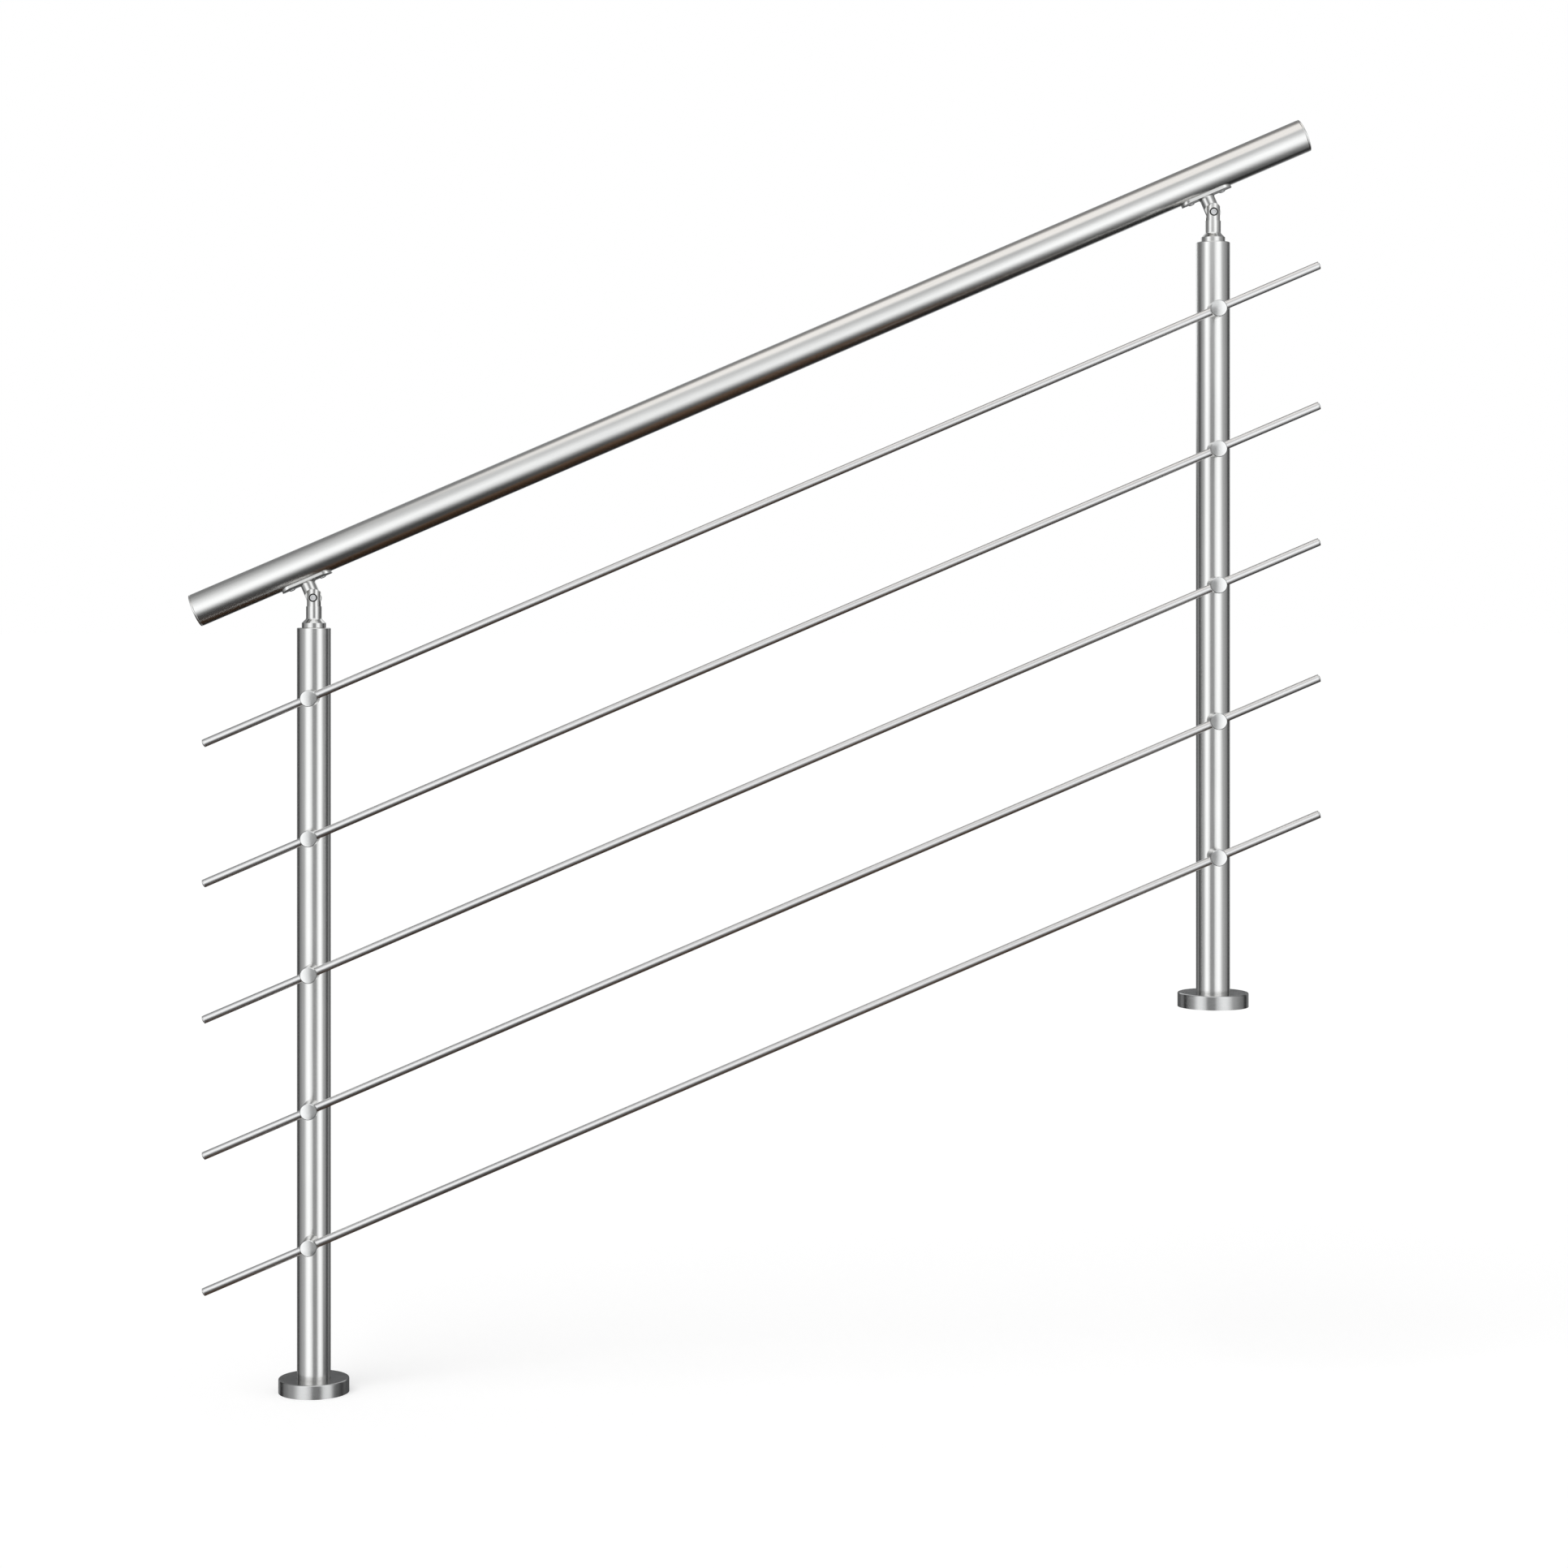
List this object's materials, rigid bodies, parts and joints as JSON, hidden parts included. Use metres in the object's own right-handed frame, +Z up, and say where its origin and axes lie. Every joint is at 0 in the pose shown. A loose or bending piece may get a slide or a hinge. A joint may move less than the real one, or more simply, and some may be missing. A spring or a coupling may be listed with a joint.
{
  "type": "stair balustrade panel",
  "caption": "Stainless stair balustrade panel: round posts on covered flanges, sloped round handrail on swivel brackets, thin crossbars in swivel holders.",
  "frame": {"origin": "centre of the underside of the lower post's base flange", "axes": "+Z up along the posts, +X level along the run towards the upper post, crossbars on the -Y side"},
  "size_m": [1.404, 0.0995, 1.5855],
  "materials": {
    "brushed_tube": "satin brushed along the tube",
    "brushed_bar": "satin brushed along the bar",
    "cast_fitting": "satin turned",
    "base_fitting": "satin turned, darker",
    "holder_fitting": "satin turned",
    "screw_steel": "bright"
  },
  "bodies": {
    "lower_post": {"lower_base_plate": "base_fitting", "lower_base_cover": "base_fitting", "lower_post_tube": "brushed_tube", "lower_post_cap": "cast_fitting", "lower_fork_stem": "cast_fitting", "lower_pivot_screw": "screw_steel", "lower_holder_seats": "holder_fitting"},
    "handrail": {"handrail_tube": "brushed_tube", "handrail_lower_cap": "brushed_tube", "handrail_upper_cap": "brushed_tube", "lower_rail_bracket": "cast_fitting", "upper_rail_bracket": "cast_fitting"},
    "upper_post": {"upper_base_plate": "base_fitting", "upper_base_cover": "base_fitting", "upper_post_tube": "brushed_tube", "upper_post_cap": "cast_fitting", "upper_fork_stem": "cast_fitting", "upper_pivot_screw": "screw_steel", "upper_holder_seats": "holder_fitting"},
    "crossbar_1": {"crossbar_1_tube": "brushed_bar", "crossbar_1_caps": "brushed_bar", "crossbar_1_lower_holder": "holder_fitting", "crossbar_1_upper_holder": "holder_fitting"},
    "crossbar_2": {"crossbar_2_tube": "brushed_bar", "crossbar_2_caps": "brushed_bar", "crossbar_2_lower_holder": "holder_fitting", "crossbar_2_upper_holder": "holder_fitting"},
    "crossbar_3": {"crossbar_3_tube": "brushed_bar", "crossbar_3_caps": "brushed_bar", "crossbar_3_lower_holder": "holder_fitting", "crossbar_3_upper_holder": "holder_fitting"},
    "crossbar_4": {"crossbar_4_tube": "brushed_bar", "crossbar_4_caps": "brushed_bar", "crossbar_4_lower_holder": "holder_fitting", "crossbar_4_upper_holder": "holder_fitting"},
    "crossbar_5": {"crossbar_5_tube": "brushed_bar", "crossbar_5_caps": "brushed_bar", "crossbar_5_lower_holder": "holder_fitting", "crossbar_5_upper_holder": "holder_fitting"}
  },
  "joints": [
    {"name": "slope", "type": "hinge", "parent": "lower_post", "child": "handrail", "pos_m": [0, 0, 0.99], "axis": [0, -1, 0], "range_deg": [-23.2, 21.8]},
    {"name": "upper_knuckle", "type": "hinge", "parent": "handrail", "child": "upper_post", "pos_m": [1.12135, 0, 1.47061], "axis": [0, -1, 0], "range_deg": [-21.8, 23.2]},
    {"name": "bar_swivel_1", "type": "hinge", "parent": "lower_post", "child": "crossbar_1", "pos_m": [0, -0.045, 0.1892], "axis": [0, -1, 0], "range_deg": [-23.2, 21.8]},
    {"name": "bar_swivel_2", "type": "hinge", "parent": "lower_post", "child": "crossbar_2", "pos_m": [0, -0.045, 0.3572], "axis": [0, -1, 0], "range_deg": [-23.2, 21.8]},
    {"name": "bar_swivel_3", "type": "hinge", "parent": "lower_post", "child": "crossbar_3", "pos_m": [0, -0.045, 0.5252], "axis": [0, -1, 0], "range_deg": [-23.2, 21.8]},
    {"name": "bar_swivel_4", "type": "hinge", "parent": "lower_post", "child": "crossbar_4", "pos_m": [0, -0.045, 0.6932], "axis": [0, -1, 0], "range_deg": [-23.2, 21.8]},
    {"name": "bar_swivel_5", "type": "hinge", "parent": "lower_post", "child": "crossbar_5", "pos_m": [0, -0.045, 0.8662], "axis": [0, -1, 0], "range_deg": [-23.2, 21.8]}
  ],
  "couplings": [
    {"joint": "upper_knuckle", "follows": "slope", "ratio": -1},
    {"joint": "bar_swivel_1", "follows": "slope", "ratio": 1},
    {"joint": "bar_swivel_2", "follows": "slope", "ratio": 1},
    {"joint": "bar_swivel_3", "follows": "slope", "ratio": 1},
    {"joint": "bar_swivel_4", "follows": "slope", "ratio": 1},
    {"joint": "bar_swivel_5", "follows": "slope", "ratio": 1}
  ]
}
